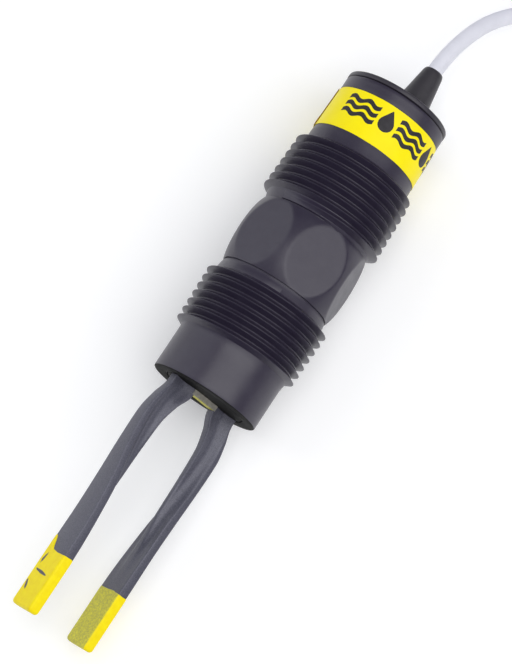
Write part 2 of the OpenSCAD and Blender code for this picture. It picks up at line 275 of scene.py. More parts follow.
def rounded(outline, edges, steps=4):
    """An outline of (r, z) with chosen corners rounded: edges maps a corner's number to its
    radius."""
    out = []
    for k, corner in enumerate(outline):
        radius = edges.get(k)
        if not radius:
            out.append(corner)
            continue
        here = Vector(corner)
        before = (Vector(outline[k - 1]) - here).normalized()
        after = (Vector(outline[(k + 1) % len(outline)]) - here).normalized()
        half = before.angle(after) / 2
        reach = radius / math.tan(half)
        centre = here + (before + after).normalized() * (radius / math.sin(half))
        start, end = here + before * reach - centre, here + after * reach - centre
        for s in range(steps + 1):
            spoke = start.lerp(end, s / steps).normalized() * radius
            out.append(tuple(centre + spoke))
    return out


def turned(points, faces, outline, count, x=0):
    """Adds a closed outline of (r, z), turned about an axis at x, to a mesh."""
    rings = []
    for r, z in outline:
        rings.append(list(range(len(points), len(points) + count)))
        for k in range(count):
            turn = math.tau * k / count
            points.append(at(x + r * math.cos(turn), r * math.sin(turn), z))
    for a, b in zip(rings, rings[1:] + rings[:1]):
        faces += bridge(a, b)


def tube(name, points, radius, material, sides=6):
    """A curve of one open spline through points in metres, with a round section."""
    curve = bpy.data.curves.new(name, "CURVE")
    curve.dimensions = "3D"
    curve.bevel_depth = radius
    curve.bevel_resolution = sides
    curve.use_fill_caps = True
    spline = curve.splines.new("POLY")
    spline.points.add(len(points) - 1)
    for place, p in zip(spline.points, points):
        place.co = (*p, 1)
    spline.use_smooth = True
    curve.materials.append(material)
    return bpy.data.objects.new(name, curve)


def through(a, b, c, d, t):
    """The value a share t of the way from b to c, on a smooth curve through all four."""
    return b + 0.5 * t * (c - a + t * (2 * a - 5 * b + 4 * c - d + t * (3 * (b - c) + d - a)))


def smooth_line(points, steps):
    """Points along a smooth curve through the given ones, steps to each stretch."""
    points = [Vector(p) for p in points]
    out = []
    for k in range(len(points) - 1):
        a, b = points[max(k - 1, 0)], points[k]
        c, d = points[k + 1], points[min(k + 2, len(points) - 1)]
        out += [through(a, b, c, d, s / steps) for s in range(steps)]
    return out + [points[-1]]


def ease(t):
    """From 0 to 1 with level ends."""
    t = min(1, max(0, t))
    return t * t * (3 - 2 * t)


# ---------------------------------------------------------------- cable

CABLE_R = 0.0016
# Where the cable runs from the boot's end, past the edge of the view and into the coil.
CABLE_ROUTE = [
    (boot_x * MM, boot_high[1], axis_z), (0.0026, 0.0685, 0.0132), (0.0031, 0.072, 0.0129),
    (0.0039, 0.0755, 0.0122), (0.005, 0.079, 0.0111), (0.0066, 0.0825, 0.0096),
    (0.0088, 0.0859, 0.0079), (0.0114, 0.0893, 0.0062), (0.014, 0.093, 0.0047),
    (0.0164, 0.097, 0.0035), (0.0186, 0.1012, 0.0027), (0.0202, 0.1056, 0.0023),
    (0.0204, 0.1105, 0.0023), (0.0204, 0.1155, 0.0023),
]
ROWS = 5
TURNS = 24
TURN_STEPS = 36
SHIFT_SHARE = 0.14
coil_low, coil_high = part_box("cable_coil")
COIL_X = (coil_low[0] + coil_high[0]) / 2
COIL_Y = (coil_low[1] + coil_high[1]) / 2
COIL_OUTER = (coil_high[0] - coil_low[0]) / 2
COIL_TOP = coil_high[2]
COIL_MID = COIL_OUTER - ROWS * CABLE_R
END_Z = COIL_TOP + CABLE_R
COIL_START = 0
END_STEPS = 8
CLIMB_START = math.radians(158)
END_START = math.radians(205)
END_STOP = math.radians(265)


def coil_point(r, turn, z):
    """A point of the coil from its radius, its turn and its height, in metres."""
    return (COIL_X + r * math.cos(turn), COIL_Y + r * math.sin(turn), z)


def coil_slot(k):
    """The radius and height of the k-th turn: up the outer column, down the next, and so on."""
    column, step = divmod(k, ROWS)
    row = step if column % 2 == 0 else ROWS - 1 - step
    return COIL_OUTER - CABLE_R * (1 + 2 * column), coil_low[2] + CABLE_R * (1 + 2 * row)


def coil_line():
    """The coiled stretch, anticlockwise from above, and then its end lying on the coil."""
    line = []
    for k in range(TURNS + 1):
        share = (CLIMB_START - COIL_START) / math.tau if k == TURNS else 1
        (r0, z0), (r1, z1) = coil_slot(k), coil_slot(k + 1)
        for s in range(round(TURN_STEPS * share)):
            t = s / TURN_STEPS
            shift = ease((t - 1 + SHIFT_SHARE) / SHIFT_SHARE)
            line.append(coil_point(
                r0 + (r1 - r0) * shift, COIL_START + math.tau * (k + t), z0 + (z1 - z0) * shift
            ))
    r0, z0 = coil_slot(TURNS)
    for s in range(END_STEPS + 1):
        t = s / END_STEPS
        turn = CLIMB_START + (END_START - CLIMB_START) * t
        line.append(coil_point(
            r0 + (COIL_MID - r0) * ease(t), turn, z0 + (END_Z - z0) * ease(t * 1.4)
        ))
    for s in range(1, END_STEPS + 1):
        turn = END_START + (END_STOP - END_START) * s / END_STEPS
        line.append(coil_point(COIL_MID, turn, END_Z))
    return line


def add_cable():
    """The whole cable, its ties and its four stripped conductors."""
    line = smooth_line(CABLE_ROUTE, 2)[:-1] + [Vector(p) for p in coil_line()]
    cable = tube("cable_jacket", line, CABLE_R, jacket_white)
    settle(cable, ["cable", "cable_coil", "cable_end"])
    extras = add_conductors() + add_ties()
    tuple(CABLE_ROUTE[0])


WIRE_R = 0.00045
WIRE_PITCH = 0.00095
WIRE_SPAN = math.radians(75)
WIRE_STEPS = 24
# How far each wire starts inside the jacket's end, and how far from its axis.
WIRE_INSIDE = 0.03
WIRE_OFFSET = 0.00042
FERRULE_R = 0.00062
FERRULE_SPAN = math.radians(14)
WIRES = {
    "red": (0.5, 0.02, 0.015), "black": (0.02, 0.02, 0.022),
    "white": (0.8, 0.8, 0.8), "green": (0.02, 0.2, 0.05),
}


def add_conductors():
    """Four wires that fan out of the jacket's end, each with a crimped ferrule."""
    tinned = make_material("tinned", (0.7, 0.7, 0.72), 0.3, grain=(0.2, 0.004), Metallic=1)
    made, points, faces = [], [], []
    for k, (name, colour) in enumerate(WIRES.items()):
        coat = make_material(
            "wire_" + name, colour, 0.4, grain=(0.3, 0.004),
            mottle=(tuple(c * 0.8 for c in colour), 1.0, 0.5),
        )
        r_end = COIL_MID + WIRE_PITCH * (k - 1.5)
        r_start = COIL_MID + WIRE_OFFSET * (1 if k > 1 else -1)
        z_start = END_Z + WIRE_OFFSET * (1 if k in (1, 2) else -1)
        line = []
        for s in range(WIRE_STEPS + 1):
            t = s / WIRE_STEPS
            turn = END_STOP - WIRE_INSIDE + (WIRE_SPAN + WIRE_INSIDE) * t
            spread = ease(t * 2.2)
            wave = 0.00012 * math.sin(9 * t + 1.7 * k) * spread * (1 - t)
            line.append(coil_point(
                r_start + (r_end - r_start) * spread + wave, turn,
                z_start + (COIL_TOP + WIRE_R - z_start) * ease(t * 2.6),
            ))
        wire = tube(name + "_lead", line, WIRE_R, coat, 4)
        made.append(settle(wire, ["conductor_" + name]))
        add_ferrule(points, faces, r_end)
    made.append(add_mesh(
        "crimped_ferrules", points, faces, [tinned], ["wire_ferrules"]
    ))
    return made


def add_ferrule(points, faces, r_end):
    """One ferrule: a collar, a barrel with crimped waists, and a closed end."""
    # Its radius as a share of the wire's, and how far along it that is.
    profile = [
        (1.5, 0), (1.5, 0.12), (1.05, 0.2), (1.0, 0.34), (0.8, 0.4), (1.0, 0.48), (0.8, 0.56),
        (1.0, 0.64), (0.8, 0.72), (1.0, 0.8), (0.95, 0.97), (0.8, 1),
    ]
    sides = 12
    barrel_r = WIRE_R * 0.99
    rings = []
    for scale, along in profile:
        turn = END_STOP + WIRE_SPAN + FERRULE_SPAN * along
        ring = []
        for k in range(sides):
            angle = math.tau * k / sides
            r = r_end + barrel_r * scale * math.cos(angle)
            z = COIL_TOP + FERRULE_R + barrel_r * scale * math.sin(angle)
            ring.append(coil_point(r, turn, z))
        rings.append(ring)
    loft(points, faces, rings)


TIE_TURNS = (20, 150)
TIE_HALF_W = 0.00175
TIE_T = 0.0007
TIE_CORNER = 0.0016


def add_ties():
    """Two nylon ties round the coil, each with a ratchet head and a cut tail on top."""
    half = ROWS * CABLE_R
    bundle_z = COIL_TOP - half
    points, faces = [], []
    for degrees in TIE_TURNS:
        turn = math.radians(degrees)
        out = Vector((math.cos(turn), math.sin(turn), 0))
        side = Vector((-math.sin(turn), math.cos(turn), 0))
        middle = Vector((COIL_X, COIL_Y, bundle_z)) + out * COIL_MID
        loop = []
        for cx, cz, start in ((1, 1, 0), (-1, 1, 90), (-1, -1, 180), (1, -1, 270)):
            for s in range(5):
                a = math.radians(start + 22.5 * s)
                x, z = cx * (half - TIE_CORNER), cz * (half - TIE_CORNER)
                loop.append((x, z, math.cos(a), math.sin(a)))
        outside = TIE_CORNER + TIE_T
        edge = TIE_CORNER + TIE_T * 0.8
        rings = []
        for shell, width in (
            (TIE_CORNER, -1), (edge, -1), (outside, -0.86), (outside, 0.86), (edge, 1),
            (TIE_CORNER, 1),
        ):
            rings.append(list(range(len(points), len(points) + len(loop))))
            for x, z, dx, dz in loop:
                p = middle + out * (x + shell * dx) + side * (width * TIE_HALF_W)
                points.append(p + Vector((0, 0, z + shell * dz)))
        for a, b in zip(rings, rings[1:] + rings[:1]):
            faces += bridge(a, b)
        top = middle + Vector((0, 0, half + TIE_T))
        head, tail = top + out * 0.002, top - out * 0.0034
        add_block(points, faces, head, out * 0.0026, side * 0.0024, 0.0019, 0.0006)
        add_block(points, faces, tail, out * 0.0032, side * 0.0014, 0.0004, 0.0002)
    return [add_mesh("nylon_ties", points, faces, [tie_nylon], ["cable_ties"])]


def add_block(points, faces, middle, reach, side, half_z, edge):
    """A block with chamfered edges, added to a mesh. It is sunk a little below a point, and
    reach and side go from its middle to its end and to its side."""
    length, width = reach.length, side.length
    reach, side = reach.normalized(), side.normalized()
    low, high = -half_z * 0.4, half_z * 2
    rings = []
    for inset, z in ((edge, low), (0, low + edge), (0, high - edge), (edge, high)):
        a, b = length - inset, width - inset
        c = edge
        ring = [
            (a - c, -b), (a, c - b), (a, b - c), (a - c, b), (c - a, b), (-a, b - c), (-a, c - b),
            (c - a, -b),
        ]
        rings.append([middle + reach * x + side * y + Vector((0, 0, z)) for x, y in ring])
    loft(points, faces, rings)


add_cable()


# ---------------------------------------------------------------- housing

COLUMNS = 320
FIRST_COLUMN = 90
PITCH = 1.814
THREAD_DEPTH = 1.33
CREST_R = 12.87
TAPER = 1 / 32
NOSE_R = 11.35
LOW_NECK_R = 11.7
HIGH_NECK_R = 11.8
COLLAR_R = 11.35
CAP_R = 11.0
MOUTH_R = 8.5
CAVITY_R = 9.4
BARREL_Z = 24.7
BARREL_H = 14.2
BARREL_R = 12.98
BARREL_END_R = 11.7
FLAT_R = 11.65
FLAT_TURN = math.radians(-66)
EDGE_BLEND = 0.16
# The heights of the collar's lower end and of the lower thread's first crest.
COLLAR_Z = 53.5
FIRST_CREST_Z = 10
# The heights of the first roots, and the upper thread's starting turn in degrees.
LOW_START_Z = 9.07
HIGH_START_Z = 39.15
HIGH_START = -130
# The rows of faces on the nose's face, from the web to the rounded outer edge. They take the near
# black of painted shade.
NOSE_FACE_ROWS = 10
BARREL_ROWS = 72
# One thread from root to root: share of the pitch, and share of the depth.
THREAD_SHAPE = [
    (0, 0), (0.05, 0.02), (0.26, 0.47), (0.46, 0.94), (0.482, 1), (0.518, 1), (0.54, 0.94),
    (0.74, 0.47), (0.95, 0.02),
]


class Skin:
    """Rings of points round the axis, joined as they are added."""

    def __init__(self):
        self.points = []
        self.faces = []
        self.first = None
        self.last = None

    def ring(self, z, radius):
        """A ring at a height. radius is a number, or a function of the turn."""
        start = len(self.points)
        for k in range(COLUMNS):
            turn = column_turn(k)
            r = radius(turn) if callable(radius) else radius
            self.points.append(polar(r, turn, z))
        ring = list(range(start, start + COLUMNS))
        if self.last:
            self.faces += bridge(self.last, ring)
        else:
            self.first = ring
        self.last = ring

    def close(self):
        """Joins the last ring to the first."""
        self.faces += bridge(self.last, self.first)

    def thread(self, z0, turns, start_column, radius_of, height_of_turn):
        """A right-hand thread that climbs from the last ring. z0 is the height of its first
        root at start_column, and height_of_turn fades it in and out along its turns."""
        n = len(THREAD_SHAPE)
        rows = n * turns
        grid = []
        for j in range(COLUMNS):
            column = []
            for i in range(rows + 1):
                share, high = THREAD_SHAPE[i % n]
                along = i // n + share + j / COLUMNS
                z = z0 + PITCH * along
                wound = i // n + 0.5 + j / COLUMNS
                r = radius_of(z) + THREAD_DEPTH * high * height_of_turn(wound)
                column.append(len(self.points))
                turn = column_turn(start_column + j)
                self.points.append(polar(r, turn, z))
            grid.append(column)
        below = self.last[start_column:] + self.last[:start_column]
        for j in range(COLUMNS - 1):
            a, b = grid[j], grid[j + 1]
            self.faces.append((below[j], below[j + 1], b[0], a[0]))
            self.faces += [(a[i], b[i], b[i + 1], a[i + 1]) for i in range(rows)]
        a, b = grid[-1], grid[0]
        self.faces += [(a[i], b[i + n], b[i + n + 1], a[i + 1]) for i in range(rows - n)]
        self.faces += [(a[0], b[i], b[i + 1]) for i in range(n)]
        self.faces.append((below[-1], below[0], b[0], a[0]))
        self.faces += [(a[rows - n + i], b[rows], a[rows - n + i + 1]) for i in range(n)]
        top_z = z0 + PITCH * (turns + 1) + 0.12
        start = len(self.points)
        for k in range(COLUMNS):
            self.points.append(polar(radius_of(top_z), column_turn(k), top_z))
        ring = list(range(start, start + COLUMNS))
        above = ring[start_column:] + ring[:start_column]
        for j in range(COLUMNS - 1):
            self.faces.append((grid[j][-1], grid[j + 1][-1], above[j + 1], above[j]))
        self.faces.append((a[-1], b[-1], above[0], above[-1]))
        self.last = ring


def column_turn(k):
    """The turn of a column. The first one is at the back."""
    return math.radians(FIRST_COLUMN) + math.tau * k / COLUMNS


def low_crest(z):
    """The lower thread's crest radius, which widens towards the barrel."""
    return CREST_R + TAPER * (z - FIRST_CREST_Z)


def high_crest(z):
    """The upper thread's crest radius, which widens towards the barrel."""
    return CREST_R + TAPER * (COLLAR_Z - z)


def low_root(z):
    """The surface under the lower thread, which meets the necks at its ends."""
    root = low_crest(z) - THREAD_DEPTH
    into_nose = ease((z - 9.3) / 0.8)
    into_neck = ease((z - 22.2) / 0.6)
    lower = NOSE_R + (root - NOSE_R) * into_nose
    return lower * (1 - into_neck) + LOW_NECK_R * into_neck


def high_root(z):
    """The surface under the upper thread, which meets the necks at its ends."""
    root = high_crest(z) - THREAD_DEPTH
    from_neck = ease((z - 39.8) / 0.8)
    into_collar = ease((z - 52.6) / 0.9)
    lower = HIGH_NECK_R + (root - HIGH_NECK_R) * from_neck
    return lower * (1 - into_collar) + COLLAR_R * into_collar


def barrel(z):
    """The barrel's radius at a height above its middle."""
    rise = BARREL_R - BARREL_END_R
    arc = ((BARREL_H / 2) ** 2 + rise ** 2) / (2 * rise)
    return BARREL_R - arc + math.sqrt(arc ** 2 - z ** 2)


def hexagon(turn):
    """The distance from the axis to the nearest wrench flat's plane, along a turn."""
    sixth = math.tau / 6
    off = (turn - FLAT_TURN + sixth / 2) % sixth - sixth / 2
    return FLAT_R / math.cos(off)


def softer_min(a, b):
    """The smaller of two, with the crease between them rounded."""
    gap = max(EDGE_BLEND - abs(a - b), 0) / EDGE_BLEND
    return min(a, b) - gap * gap * EDGE_BLEND / 4


def skin_r(z):
    """The radius above the upper thread, which narrows a little to the top."""
    return COLLAR_R + (CAP_R - COLLAR_R) * (z - COLLAR_Z) / (housing_h - COLLAR_Z)


def fade(start, full, last_full, end):
    """A thread's height along its turns: it grows from start to full, and dies away from
    last_full to end."""
    return lambda t: ease((t - start) / (full - start)) * ease((end - t) / (end - last_full))


def add_housing():
    """One closed skin: the mouth, the nose, both threads, the barrel, the cap and the cavity."""
    skin = Skin()
    for r, z in [
        (6.55, 6.2), (6.55, 4.2), (MOUTH_R, 4.2), (MOUTH_R, 0.25), (MOUTH_R + 0.08, 0.08),
        (MOUTH_R + 0.25, 0), (9.5, 0), (10.4, 0), (11.05, 0), (11.18, 0.03), (11.29, 0.11),
        (NOSE_R, 0.28), (NOSE_R, 1.2), (NOSE_R, 4), (NOSE_R, 7), (NOSE_R, 8.85),
    ]:
        skin.ring(z, r)
    skin.thread(LOW_START_Z, 7, 0, low_root, fade(0.45, 0.75, 7.3, 7.5))
    for r, z in [
        (LOW_NECK_R - 0.08, 23.9), (LOW_NECK_R - 0.1, 24.3), (LOW_NECK_R - 0.32, 24.36),
        (LOW_NECK_R - 0.34, 24.66), (BARREL_END_R - 0.08, 24.68),
    ]:
        skin.ring(z, r)
    for k in range(BARREL_ROWS + 1):
        z = BARREL_H * (k / BARREL_ROWS - 0.5)
        skin.ring(
            BARREL_Z + BARREL_H / 2 + z,
            lambda turn, wide=barrel(z): softer_min(wide, hexagon(turn)),
        )
    for r, z in [
        (BARREL_END_R - 0.08, 38.92), (HIGH_NECK_R - 0.4, 38.94), (HIGH_NECK_R - 0.36, 39.08),
    ]:
        skin.ring(z, r)
    start = round((HIGH_START - FIRST_COLUMN) % 360 / 360 * COLUMNS)
    skin.thread(HIGH_START_Z, 8, start, high_root, fade(0.5, 0.72, 7.95, 8.15))
    for r, z in [
        (skin_r(56), 56.0), (skin_r(57), 57.0), (skin_r(60), 60.0), (skin_r(63), 63.0),
        (skin_r(65), 65.2), (skin_r(65.5), 65.45), (skin_r(65.5) + 0.05, 65.5),
        (skin_r(65.6) + 0.07, 65.62), (CAP_R + 0.1, 66.4), (CAP_R + 0.13, 67.4),
        (CAP_R + 0.13, 67.9), (CAP_R + 0.06, 68.08), (CAP_R - 0.12, 68.14),
        (CAP_R - 0.3, housing_h - 0.02), (CAP_R - 0.5, housing_h), (CAVITY_R, housing_h),
        (CAVITY_R, 50), (CAVITY_R, 30), (CAVITY_R, 6.2),
    ]:
        skin.ring(z, r)
    skin.close()
    # The mouth and the nose's face get the near black of painted shade.
    face_end = NOSE_FACE_ROWS * COLUMNS
    inks = [1] * face_end + [0] * (len(skin.faces) - face_end)
    add_mesh("housing_shell", skin.points, skin.faces, [black_plastic, mouth_painted_shade],
             ["housing"], sharp=32, inks=inks)


add_housing()


# ---------------------------------------------------------------- lid and boot

def add_lid():
    """A disc with a rounded rim, a spigot below it and a hole for the boot."""
    spigot_r = CAVITY_R - 0.05
    hole_r = 2.6
    outline = rounded(
        [
            (hole_r, housing_h + 0.08), (spigot_r - 1.2, housing_h + 0.08),
            (spigot_r - 1.2, 65.6), (spigot_r, 65.6), (spigot_r, housing_h + 0.03),
            (lid_r - 0.3, housing_h + 0.03), (lid_r, housing_h + 0.22), (lid_r, lid_top),
            (hole_r, lid_top),
        ],
        {5: 0.05, 6: 0.12, 7: 0.34},
    )
    points, faces = [], []
    turned(points, faces, outline, 180)
    add_mesh("lid_disc", points, faces, [lid_plastic], ["lid"])


def add_boot():
    """A tapered sleeve round the cable, with a neck and a flange under the lid."""
    inner = CABLE_R / MM
    outline = [
        (inner, 67.0), (3.4, 67.0), (3.4, housing_h), (2.6, housing_h), (2.6, lid_top - 0.1),
        (boot_base_r, lid_top - 0.02), (boot_base_r, lid_top + 0.12),
        (boot_base_r - 0.12, lid_top + 0.35), (3.42, lid_top + 1.1), (3.12, lid_top + 2.8),
        (2.8, lid_top + 4.8), (2.5, lid_top + 6.8), (2.26, boot_end - 1.35),
        (2.2, boot_end - 0.9), (2.12, boot_end - 0.55), (2.03, boot_end - 0.3),
        (1.94, boot_end - 0.12), (1.84, boot_end - 0.03), (1.74, boot_end),
        (inner, boot_end - 0.02),
    ]
    points, faces = [], []
    turned(points, faces, outline, 96, boot_x)
    add_mesh("strain_boot", points, faces, [boot_rubber], ["cable_boot"])


add_lid()
add_boot()


# ---------------------------------------------------------------- label

LABEL_T = 0.1
LABEL_INSET = 0.04
SEAM_TURN = math.radians(-183)
SEAM_LAP = math.radians(14)


def add_label():
    """A yellow film wrapped once round, with its free end lapped over its start."""
    columns, rows = 240, 6
    points, faces, inks = [], [], []
    span = math.tau + SEAM_LAP
    grid = []
    for k in range(columns + 1):
        t = k / columns
        turn = SEAM_TURN + span * t
        lapped = ease((t * span - math.tau + 0.05) / 0.06)
        lift = (LABEL_T + 0.01) * lapped + 0.1 * ease((t - 0.985) / 0.015)
        ragged = 0.03 * math.sin(31 * t) + 0.02 * math.sin(83 * t)
        column = []
        for side in (0, 1):
            for i in range(rows + 1):
                v = i / rows if side == 0 else 1 - i / rows
                z = label_z + LABEL_INSET + (label_top - label_z - 2 * LABEL_INSET) * v
                z += ragged * (2 * v - 1) * 0.5
                r = skin_r(z) + lift + (0.01 if side == 0 else LABEL_T)
                column.append(len(points))
                points.append(polar(r, turn, z))
        grid.append(column)
    around = len(grid[0])
    for k, (a, b) in enumerate(zip(grid, grid[1:])):
        for i in range(around):
            faces.append((a[i], b[i], b[(i + 1) % around], a[(i + 1) % around]))
            inks.append(1 if k > columns - 3 else 0)
    faces.append(tuple(grid[0]))
    faces.append(tuple(reversed(grid[-1])))
    inks += [1, 1]
    add_mesh("label_film", points, faces, [label_yellow, label_glue], ["label"],
             inks=inks)


MARK_STEP = 0.12
MARK_T = 0.02
# The turn at which u is 0, and the radius at which u is measured.
MARK_TURN = math.radians(-90 + 6.8)
MARK_R = 11.2


class Mark:
    """Flat ink shapes on the label, cut into upright strips that follow its curve. u runs
    round the label in millimetres from its front, and v up it from its lower edge."""

    def __init__(self):
        self.points = []
        self.faces = []

    def strip(self, start, end, low, high):
        """The shape between two edges, each a function of u."""
        count = max(2, round((end - start) / MARK_STEP))
        columns = []
        for k in range(count + 1):
            u = start + (end - start) * k / count
            column = []
            for v, rise in ((low(u), 0), (high(u), 0), (high(u), 1), (low(u), 1)):
                z = label_z + v
                r = skin_r(z) + LABEL_T + (MARK_T if rise else -MARK_T)
                column.append(len(self.points))
                self.points.append(polar(r, MARK_TURN + u / MARK_R, z))
            columns.append(column)
        for a, b in zip(columns, columns[1:]):
            self.faces += [
                (a[i], b[i], b[(i + 1) % 4], a[(i + 1) % 4]) for i in range(4)
            ]
        self.faces.append(tuple(columns[0]))
        self.faces.append(tuple(reversed(columns[-1])))

    def drop(self, u0, v0, r, tip):
        """A drop of liquid with its point up."""
        slope = math.sqrt(max(tip ** 2 - r ** 2, 0)) / r
        touch = r * math.sqrt(1 - (r / tip) ** 2)

        def high(u):
            x = abs(u - u0)
            if x > touch:
                return v0 + math.sqrt(max(r * r - x * x, 0)) + 0.01
            return v0 + tip - x * slope

        def low(u):
            return v0 - math.sqrt(max(r * r - (u - u0) ** 2, 0)) - 0.01

        self.strip(u0 - r, u0 + r, low, high)

    def wave(self, start, end, v0, rise, length, thick):
        """A wavy line."""
        def middle(u):
            return v0 + rise * math.sin(math.tau * (u - start) / length)

        self.strip(start, end, lambda u: middle(u) - thick / 2, lambda u: middle(u) + thick / 2)


def add_mark():
    """Plain waves and drops, repeated along the label's front."""
    mark = Mark()
    for u0 in (-9.6, 2.4, 14.4):
        for v0 in (3.95, 5.5, 7.05):
            mark.wave(u0, u0 + 7.5, v0, 0.36, 3.75, 0.95)
        mark.drop(u0 + 9.75, 4.95, 1.6, 3.1)
    add_mesh("label_mark", mark.points, mark.faces, [label_ink], [])


def add_glue():
    """A bead of dried glue at the label's edge."""
    points, faces, rings = [], [], []
    turn, z0 = math.radians(-175), label_z + 1.7
    rows, count = 10, 16
    for k in range(rows + 1):
        a = math.pi * k / rows
        ring = []
        for j in range(count):
            b = math.tau * j / count
            wide = math.sin(a) * (1 + 0.15 * math.sin(3 * b + 2 * a))
            r = skin_r(z0) + LABEL_T + 0.02 + 0.28 * wide * math.cos(b)
            ring.append(polar(r, turn + 0.06 * wide * math.sin(b), z0 - 1.4 * math.cos(a)))
        rings.append(ring)
    loft(points, faces, rings)
    add_mesh("label_glue_bead", points, faces, [label_glue], [])


add_label()
add_mark()
add_glue()


# ---------------------------------------------------------------- fork

FORK_TURN = math.radians(38)
BASE_R = 8.45
BASE_Z = 0.1
FORK_COLUMNS = 96
# The rows of faces on the disc's outer side and its rounded rim. They take the near black of
# painted shade.
DISC_FACE_ROWS = 6
# At each height: outer face, edge of the front face, inner edge, blade width, web width.
TINE_STATIONS = [
    (3.0, 8.30, 8.15, 2.80, 2.00, 2.00), (0.4, 8.32, 8.15, 2.80, 2.00, 2.00),
    (-1.8, 8.35, 8.15, 2.80, 2.00, 2.00), (-4.7, 9.25, 8.75, 4.15, 2.30, 1.85),
    (-8.5, 9.90, 8.95, 5.15, 2.75, 1.60), (-15.2, 9.60, 8.45, 5.40, 3.75, 1.10),
    (-22.8, 8.80, 7.15, 5.50, 5.45, 0.60), (-30.3, 8.30, 6.55, 6.00, 6.50, 0.80),
    (-38.5, 8.20, 6.15, 6.15, 7.00, 1.20), (-51.2, 8.20, 6.15, 6.15, 7.00, 1.20),
]
TINE_STEP = 0.7
TINE_EDGE = 0.22
SCOOP = 0.2
# The bar between the tines' roots: half its length, its thickness and how far it stands out.
BRIDGE_HALF = 3.1
BRIDGE_T = 2.2
BRIDGE_H = 1.0
CORNER_STEPS = 3


def tine_rows():
    """Sections down a tine, smooth through its stations."""
    rows = []
    last = len(TINE_STATIONS) - 1
    for here in range(last):
        drop = TINE_STATIONS[here][0] - TINE_STATIONS[here + 1][0]
        steps = math.ceil(drop / TINE_STEP)
        row = [TINE_STATIONS[min(max(here + d, 0), last)] for d in (-1, 0, 1, 2)]
        for s in range(steps):
            t = s / steps
            z = row[1][0] + t * (row[2][0] - row[1][0])
            sizes = [through(*(station[k] for station in row), t) for k in range(1, len(row[0]))]
            rows.append([z] + sizes)
    return rows + [list(TINE_STATIONS[-1])]


def section(corners, edge):
    """A closed outline with each corner cut by a small arc of CORNER_STEPS + 1 points."""
    out = []
    n = len(corners)
    for k in range(n):
        here = Vector(corners[k])
        before, after = Vector(corners[k - 1]) - here, Vector(corners[(k + 1) % n]) - here
        reach = min(edge, before.length * 0.45, after.length * 0.45)
        start, end = here + before.normalized() * reach, here + after.normalized() * reach
        for s in range(CORNER_STEPS + 1):
            t = s / CORNER_STEPS
            out.append(tuple(start * (1 - t) ** 2 + here * 2 * t * (1 - t) + end * t * t))
    return out


def scooped(ring, share, points=6):
    """Hollows the two slanting faces of a tine's section, by a share of the full depth. They
    run from the section's third corner to its fourth, and from its fifth to its sixth."""
    out = []
    ends = [corner * (CORNER_STEPS + 1) - 1 for corner in (3, 5)]
    for k, p in enumerate(ring):
        out.append(p)
        if k not in ends:
            continue
        a, b = Vector(p), Vector(ring[(k + 1) % len(ring)])
        span = b - a
        inward = Vector((-span.y, span.x)) * SCOOP * share
        for s in range(1, points + 1):
            t = s / (points + 1)
            out.append(tuple(a + span * t + inward * 4 * t * (1 - t)))
    return out


def fork_point(x, y, z, half_turn):
    """A point of the fork, on the tine at one side or the other."""
    turn = FORK_TURN + (math.pi if half_turn else 0)
    c, s = math.cos(turn), math.sin(turn)
    return at(x * c - y * s, x * s + y * c, z)


def add_fork():
    """The base disc, its hollow stub, the two tines and the bar between their roots."""
    points, faces = [], []
    stub_r, hole_r = 6.5, 5.2
    outline = rounded(
        [
            (0.02, BASE_Z), (BASE_R, BASE_Z), (BASE_R, 1.7), (7.3, 1.7), (7.3, 3.1), (BASE_R, 3.1),
            (BASE_R, 4.2), (stub_r, 4.2), (stub_r, 10), (hole_r, 10), (hole_r, 4.2), (1.5, 4.2),
            (1.5, 1.8), (0.02, 1.8),
        ],
        {1: 0.3},
    )
    turned(points, faces, outline, FORK_COLUMNS)
    # The disc's face and rim get the near black of painted shade.
    face_end = DISC_FACE_ROWS * FORK_COLUMNS
    inks = [1] * face_end + [0] * (len(faces) - face_end)
    half_t = BRIDGE_T / 2
    corners = [
        (-BRIDGE_HALF, -half_t), (BRIDGE_HALF, -half_t), (BRIDGE_HALF, half_t),
        (-BRIDGE_HALF, half_t),
    ]
    loft(points, faces, [
        [fork_point(x, y, z, False) for x, y in section(corners, edge)]
        for z, edge in ((1.0, 0.05), (0, 0.05), (-BRIDGE_H + 0.1, 0.05), (-BRIDGE_H, 0.12))
    ])
    # The bar's sides and inner cap take the resin colour. Its outer cap, the one standing out of
    # the mouth, takes the olive yellow: a painted highlight.
    inks += [2] * (len(faces) - len(inks) - 1) + [3]
    for half_turn in (False, True):
        sections = []
        for z, outer, edge, inner, blade, web in tine_rows():
            corners = [
                (outer, -blade / 2), (outer, blade / 2), (edge, blade / 2), (inner, web / 2),
                (inner, -web / 2), (edge, -blade / 2),
            ]
            ring = scooped(section(corners, TINE_EDGE), min(1, edge - inner))
            sections.append([fork_point(x, y, z, half_turn) for x, y in ring])
        loft(points, faces, sections)
    inks += [0] * (len(faces) - len(inks))
    add_mesh("fork_body", points, faces, [slate_metal, mouth_painted_shade, root_resin, olive_painted_shade_and_highlight],
             ["fork"], sharp=60, inks=inks)


COAT_T = 0.15
COAT_EDGE = 0.5
SIDE_EDGE = 0.42
TIP_ROUND = 0.75
BLADE_OUTER, BLADE_INNER, BLADE_W = 8.2, 6.15, 7.0
# Points along the outer face, an edge, the inner face and the other edge.
COAT_STEPS = (24, 8, 24, 8)


